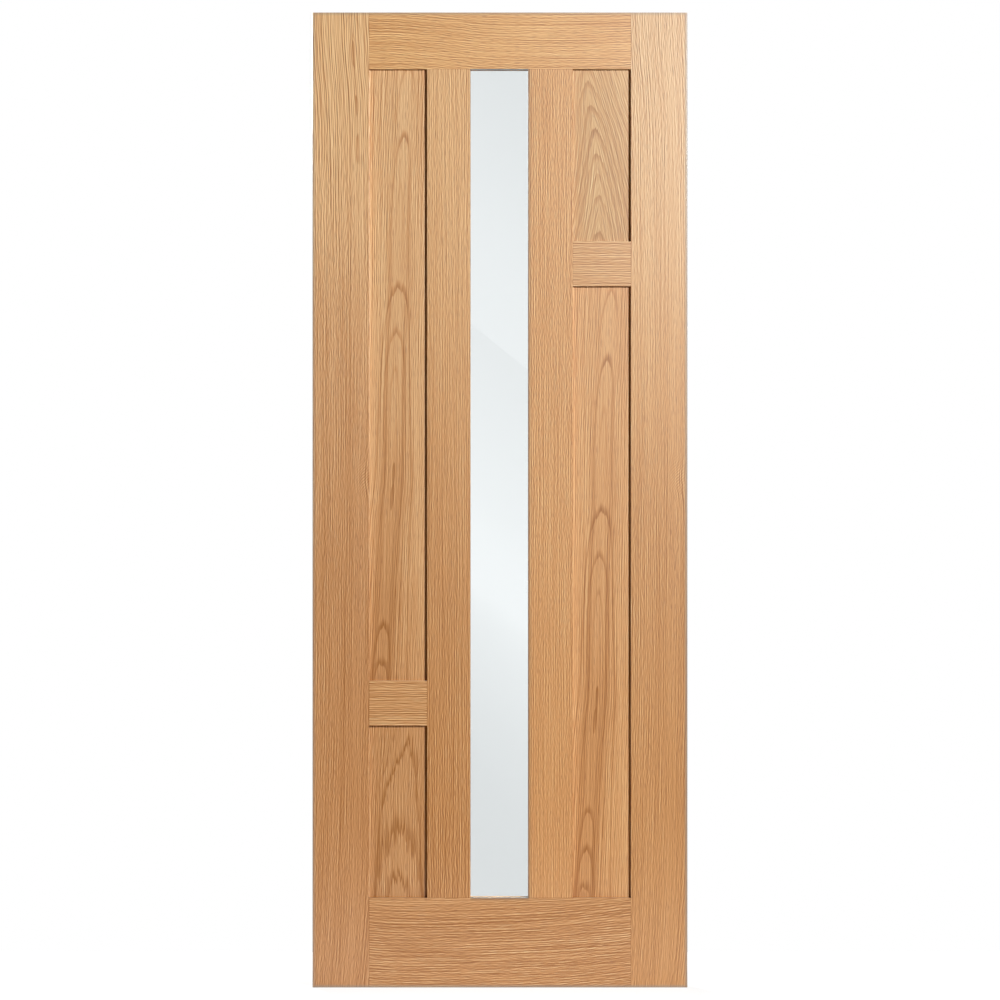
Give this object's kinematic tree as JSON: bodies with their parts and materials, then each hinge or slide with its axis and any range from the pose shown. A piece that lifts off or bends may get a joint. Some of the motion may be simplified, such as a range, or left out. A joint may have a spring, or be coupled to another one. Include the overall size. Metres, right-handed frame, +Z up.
{
  "type": "door leaf",
  "caption": "oak-veneered door leaf with one tall narrow glazed strip between two columns of flat recessed panels, parted by staggered cross rails",
  "frame": {"origin": "hinge_edge: on the hinge-side edge at the leaf's foot, halfway through its thickness", "axes": "+X across the leaf from the hinge edge to the lock edge, front face at -Y, +Z up"},
  "size_m": [0.762, 0.044, 1.981],
  "materials": {
    "oak_lipping": "satin lacquered solid oak",
    "oak_frame": "satin lacquered straight-grained oak veneer",
    "oak_panel": "satin lacquered crown-cut oak veneer",
    "oak_bead": "satin lacquered solid oak",
    "glass": "clear float glass",
    "spacer": "mill aluminium",
    "tape": "black foam tape"
  },
  "bodies": {
    "root": {"left_lipping": "oak_lipping", "right_lipping": "oak_lipping", "left_stile": "oak_frame", "right_stile": "oak_frame", "top_rail": "oak_frame", "bottom_rail": "oak_frame", "left_muntin": "oak_frame", "right_muntin": "oak_frame", "left_cross_rail": "oak_frame", "right_cross_rail": "oak_frame", "upper_left_panel": "oak_panel", "lower_left_panel": "oak_panel", "upper_right_panel": "oak_panel", "lower_right_panel": "oak_panel", "front_pane": "glass", "back_pane": "glass", "spacer_bar": "spacer", "front_glazing_tape": "tape", "back_glazing_tape": "tape", "left_bead": "oak_bead", "right_bead": "oak_bead", "top_bead": "oak_bead", "bottom_bead": "oak_bead"}
  },
  "joints": []
}
